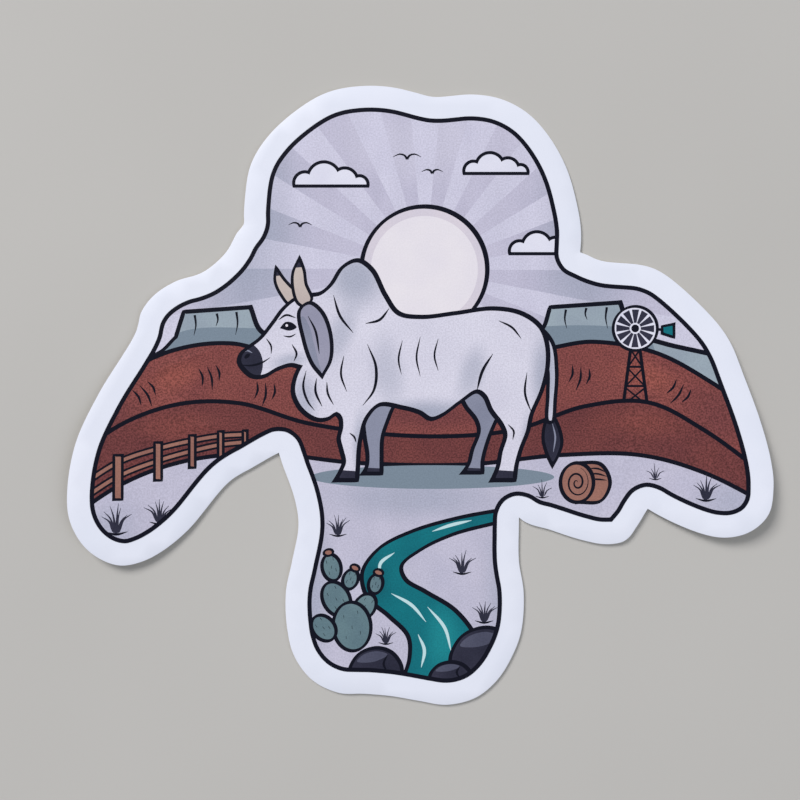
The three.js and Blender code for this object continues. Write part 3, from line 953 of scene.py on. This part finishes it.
def draw_head(inside):
    """The head's nose, mouth, eye, near horn and the long ear that hangs over the jaw."""
    nose = [(-17.4, 14.6), (-16.3, 13.9), (-15.8, 12.7), (-15.9, 11.5), (-16.5, 10.4)]
    nose += [(-19, 10.6), (-19, 14)]
    shape(curve(cow(nose), closed=True), "charcoal", inside)
    shape(ellipse(cow_point(-17.45, 13.15), (0.42, 0.24), 40, 0.1), "keyline", inside)
    stroke(cow([(-17.9, 13.45), (-17.5, 13.75), (-16.9, 13.5)]), 0.2, ink="cow_far", within=inside)
    stroke(cow([(-18.1, 12.2), (-17.0, 12.15), (-15.9, 12.45), (-15.0, 13.0)]), 0.28, within=inside)

    eye = [(-14.0, 16.1), (-14.0, 16.1), (-13.4, 16.75), (-12.7, 16.7), (-12.2, 16.2)]
    eye.append((-12.9, 15.85))
    shape(curve(cow(eye), closed=True, step=0.12), "keyline", inside)
    shape(ellipse(cow_point(-13.25, 16.4), (0.17, 0.17), step=0.08), "sun_core", inside)
    stroke(cow([(-14.1, 17.0), (-13.3, 17.5), (-12.3, 17.2)]), 0.28, within=inside)
    stroke(cow([(-13.6, 15.3), (-12.9, 15.2), (-12.3, 15.5)]), 0.22, within=inside)
    stroke(cow([(-15.4, 15.0), (-14.9, 14.2), (-14.9, 13.4)]), 0.24, within=inside)
    stroke(cow([(-12.7, 14.4), (-12.2, 13.4), (-12.5, 12.6)]), 0.28, within=inside)

    horn = [(-12.1, 18.8), (-12.6, 20.3), (-12.6, 22.0), (-11.9, 23.6), (-11.9, 23.6)]
    horn += [(-11.4, 22.2), (-11.2, 20.8), (-10.6, 19.2), (-11.3, 18.4)]
    horn_tip(keyed(cow(horn), "horn", 0.36), 22.2)
    ear = [(-11.9, 18.0), (-10.8, 18.8), (-9.5, 17.8), (-8.6, 15.4), (-8.6, 12.8), (-9.5, 11.0)]
    ear += [(-9.5, 11.0), (-10.6, 12.4), (-11.5, 15.0)]
    flap = keyed(cow(ear), "cow_ear", 0.45)
    fold = [(-11.6, 17.4), (-10.9, 16.4), (-10.4, 14.6), (-9.9, 12.6), (-9.6, 11.2)]
    fold += [(-11, 11.6), (-12.2, 15)]
    shape(curve(cow(fold), closed=True), "cow_far", flap)
    stroke(cow([(-11.0, 17.4), (-10.2, 15.8), (-9.8, 13.4)]), 0.3, within=flap)


def draw_folds(inside):
    """Strokes for the cow's skin folds, ribs, muscles and knees."""
    for line, width in (
        ([(-11.2, 11.6), (-11.5, 9.9), (-11.0, 8.3), (-10.3, 7.4)], 0.32),
        ([(-10.1, 10.8), (-10.2, 9.4), (-9.5, 7.8)], 0.32),
        ([(-9.0, 10.4), (-8.9, 9.2), (-8.3, 8.0)], 0.28),
        ([(-8.3, 19.6), (-7.6, 17.4), (-6.2, 15.6)], 0.34),
        ([(-2.4, 18.2), (-3.4, 17.0), (-4.9, 16.6)], 0.34),
        ([(-4.7, 14.4), (-3.8, 12.0), (-4.0, 9.6), (-5.2, 7.9)], 0.38),
        ([(-7.2, 13.2), (-7.5, 11.2), (-6.9, 9.4)], 0.28),
        ([(6.9, 9.5), (7.5, 11.6), (8.6, 13.4)], 0.38),
        ([(12.7, 7.1), (12.0, 9.2), (12.2, 11.4)], 0.3),
        ([(9.2, 16.9), (10.6, 16.2), (11.6, 15.0)], 0.28),
        ([(-1.0, 14.8), (-1.4, 12.8), (-1.1, 11.2)], 0.24),
        ([(0.9, 15.2), (0.5, 13.0), (0.9, 11.0)], 0.24),
        ([(2.8, 15.0), (2.4, 13.2), (2.8, 11.6)], 0.24),
        ([(-6.6, 5.0), (-6.1, 4.6), (-5.9, 4.0)], 0.26),
        ([(10.2, 5.9), (10.8, 5.2), (10.7, 4.3)], 0.26),
    ):
        stroke(cow(line), width, within=inside)


def draw_cow():
    """A humped cow with lop ears, standing and seen from its left side."""
    draw_far_legs()
    draw_tail()
    horn = [(-12.9, 18.6), (-13.9, 19.7), (-14.5, 21.1), (-14.4, 22.6), (-14.4, 22.6)]
    horn += [(-13.6, 21.4), (-12.8, 20.5), (-11.9, 19.6)]
    horn_tip(keyed(cow(horn), "horn", 0.34), 21.5)
    inside = draw_body()
    draw_head(inside)
    draw_folds(inside)


def draw_picture():
    """Every shape of the printed picture, from the back to the front."""
    draw_sky()
    draw_mesas()
    draw_hills()
    draw_fence()
    draw_bale()
    draw_creek()
    shape(ellipse(*COW_SHADOW), "mesa_shade")
    draw_cow()
    for boulder in BOULDERS:
        draw_boulder(*boulder)
    draw_cactus()
    for clump in GRASS:
        draw_grass(*clump)


# Pieces


def layers_of(node):
    """The bottom and top level of a node's flat middle, in millimetres."""
    places = np.array([v.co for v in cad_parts[node].data.vertices]) / MM
    flat = places[np.abs(places[:, 0]) < FLAT_HALF]
    return flat[:, 2].min(), flat[:, 2].max()


def ringed(rim, out):
    """The sheet's rim, moved out to where its cut edge stands at one level."""
    miter, reach = normals(rim)
    return rim + miter * (reach * out)[:, None]


def fitted(points, place):
    """The points scaled evenly, so that they fill one of the places on the map."""
    low, size = place
    return low + (points - points.min(0)) * (size / np.ptp(points, 0)).min()


def edge_cells(count, rows):
    """The places on the map of the cut edge's faces, side by side and row by row."""
    cell = np.array(EDGE_MAP[1]) / (count, rows)
    corners = np.array([(0, 1), (0, 0), (1, 0), (1, 1)])
    return [
        EDGE_MAP[0] + (corners + (i, rows - 1 - row)) * cell
        for row in range(rows)
        for i in range(count)
    ]


def slab(name, upper, slots, profile, edge, materials):
    """A closed sheet: its upper face as given, its cut edge, and a plain underside. profile lists
    the edge from the top down, as how far it stands out from the upper face and its level. slots
    has the material of each upper triangle, and edge that of the rest."""
    places, triangles = upper
    levels = [level for _, level in profile]
    rim = places[boundary(triangles)]
    rings = [ringed(rim, out) for out, _ in profile]
    rows = [boundary(triangles)]
    vertices = [(*p, levels[0]) for p in places]
    for ring, level in zip(rings[1:-1], levels[1:-1]):
        rows.append(list(range(len(vertices), len(vertices) + len(ring))))
        vertices += [(*p, level) for p in ring]
    low_places, low_triangles, _ = triangulated([rings[-1]])
    low_rim = boundary(low_triangles)
    first = int(np.argmin(np.linalg.norm(low_places[low_rim] - rings[-1][0], axis=1)))
    rows.append([len(vertices) + i for i in low_rim[first:] + low_rim[:first]])
    faces = [tuple(t) for t in triangles]
    faces += [tuple(len(vertices) + i for i in t[::-1]) for t in low_triangles]
    vertices += [(*p, levels[-1]) for p in low_places]

    on_map = np.zeros((len(vertices), 2))
    on_map[: len(places)] = fitted(places, UPPER_MAP)
    on_map[-len(low_places) :] = fitted(low_places * (-1, 1), UNDER_MAP)
    spots = [on_map[list(face)] for face in faces] + edge_cells(len(rim), len(rows) - 1)
    for high, low in zip(rows, rows[1:]):
        after = zip(high[1:] + high[:1], low[1:] + low[:1])
        faces += [(a, b, d, c) for a, b, (c, d) in zip(high, low, after)]

    flat = np.array(vertices)
    flat[:, 2] += curl(flat[:, :2])
    piece = add_piece(name, (flat * MM).tolist(), faces, materials)
    mesh = piece.data
    mesh.polygons.foreach_set("material_index", list(slots) + [edge] * (len(faces) - len(slots)))
    mesh.uv_layers.new(name="OFBake").uv.foreach_set("vector", np.concatenate(spots).ravel())
    mesh.shade_smooth()
    mesh.set_sharp_from_angle(angle=SHARP)
    mesh.update()
    return piece


def add_piece(name, vertices, faces, materials):
    """A new mesh object in the scene."""
    mesh = bpy.data.meshes.new(name)
    mesh.from_pydata(vertices, [], faces)
    for material in materials:
        mesh.materials.append(material)
    piece = bpy.data.objects.new(name, mesh)
    bpy.context.scene.collection.objects.link(piece)
    return piece


def film_sheet(outline):
    """The white film, with its cut edge slightly rounded at the top."""
    low, high = layers_of("vinyl_film")
    places, triangles, _ = triangulated([ringed(outline, -ROUNDED_EDGE)])
    out, down = 0.7 * ROUNDED_EDGE, 0.3 * ROUNDED_EDGE
    profile = [
        (0, high),
        (out, high - down),
        (ROUNDED_EDGE, high - ROUNDED_EDGE),
        (ROUNDED_EDGE, low),
    ]
    slots = [0] * len(triangles)
    return slab("film_sheet", (places, triangles), slots, profile, 0, [white_vinyl()])


def print_sheet(edge):
    """The printed picture as one thin sheet, with a keyline along its edge."""
    low, high = layers_of("ink_layer")
    draw_picture()
    edges = [edge, grown(edge, -KEYLINE)]
    inside_line, first_shape = 1, len(edges)
    places, triangles, owners = triangulated(edges + [loop for loop, _, _ in SHAPES])
    inks = sorted({ink for _, ink, _ in SHAPES})
    slots = []
    for own in owners:
        numbers = [n - first_shape for n in own if n >= first_shape]
        shown = [n for n in numbers if SHAPES[n][2] is None or SHAPES[n][2] in numbers]
        ink = SHAPES[max(shown)][1] if inside_line in own else "keyline"
        slots.append(inks.index(ink))
    profile = [(0, high), (0, low)]
    edge_ink = inks.index("keyline")
    materials = [printed_ink(ink, **INKS[ink]) for ink in inks]
    return slab("print_sheet", (places, triangles), slots, profile, edge_ink, materials)


outline = anticlockwise(smoothed(top_edge("vinyl_film")))
print_edge = anticlockwise(smoothed(top_edge("ink_layer")))

film = film_sheet(outline)
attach(film, "root")
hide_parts("vinyl_film")

picture = print_sheet(print_edge)
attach(picture, "root")
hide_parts("ink_layer")

paper = release_paper()
for half in ("backing_upper", "backing_lower"):
    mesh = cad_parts[half].data
    mesh.materials.clear()
    mesh.materials.append(paper)


# Floor, lights and camera


def floor_material():
    """A dull pale surface with hardly any pattern."""
    nodes = Nodes("pale_floor")
    tone = nodes.ranged(nodes.noise(size=60, detail=2), 0.3, 0.7)
    pale = nodes.mix(tone, srgb(186, 184, 181), srgb(190, 188, 185))
    nodes.join(pale, nodes.shader.inputs["Base Color"])
    nodes.shader.inputs["Roughness"].default_value = 0.85
    return nodes.material


def add_floor():
    """The wide floor that the sticker lies on."""
    corners = [(x, y, FLOOR_LEVEL) for x, y in square(FLOOR_HALF)]
    floor = add_piece("floor", corners, [(0, 1, 2, 3)], [floor_material()])


def add_area_light(name, place, size, power, colour):
    """A square lamp that faces the sticker."""
    light = bpy.data.lights.new(name, "AREA")
    light.size = size
    light.energy = power
    light.color = colour
    lamp = bpy.data.objects.new(name, light)
    lamp.location = place
    lamp.rotation_euler = (-Vector(place)).to_track_quat("-Z", "Y").to_euler()
    bpy.context.scene.collection.objects.link(lamp)


def add_world():
    """Soft light from all round."""
    world = bpy.data.worlds.new("studio")
    world.use_nodes = True
    background = world.node_tree.nodes["Background"]
    background.inputs["Color"].default_value = SURROUNDINGS
    background.inputs["Strength"].default_value = SURROUNDINGS_STRENGTH
    bpy.context.scene.world = world


def add_camera():
    """Straight above the sticker, with the photo's framing."""
    data = bpy.data.cameras.new("camera")
    data.lens = LENS
    data.sensor_width = SENSOR
    camera = bpy.data.objects.new("camera", data)
    distance = VIEW_SIDE * LENS / SENSOR
    camera.location = (VIEW_MIDDLE[0] * MM, VIEW_MIDDLE[1] * MM, distance * MM)
    bpy.context.scene.collection.objects.link(camera)
    bpy.context.scene.camera = camera


add_floor()
for light in LIGHTS:
    add_area_light(*light)
add_world()
add_camera()
bpy.context.scene.view_settings.view_transform = "Standard"
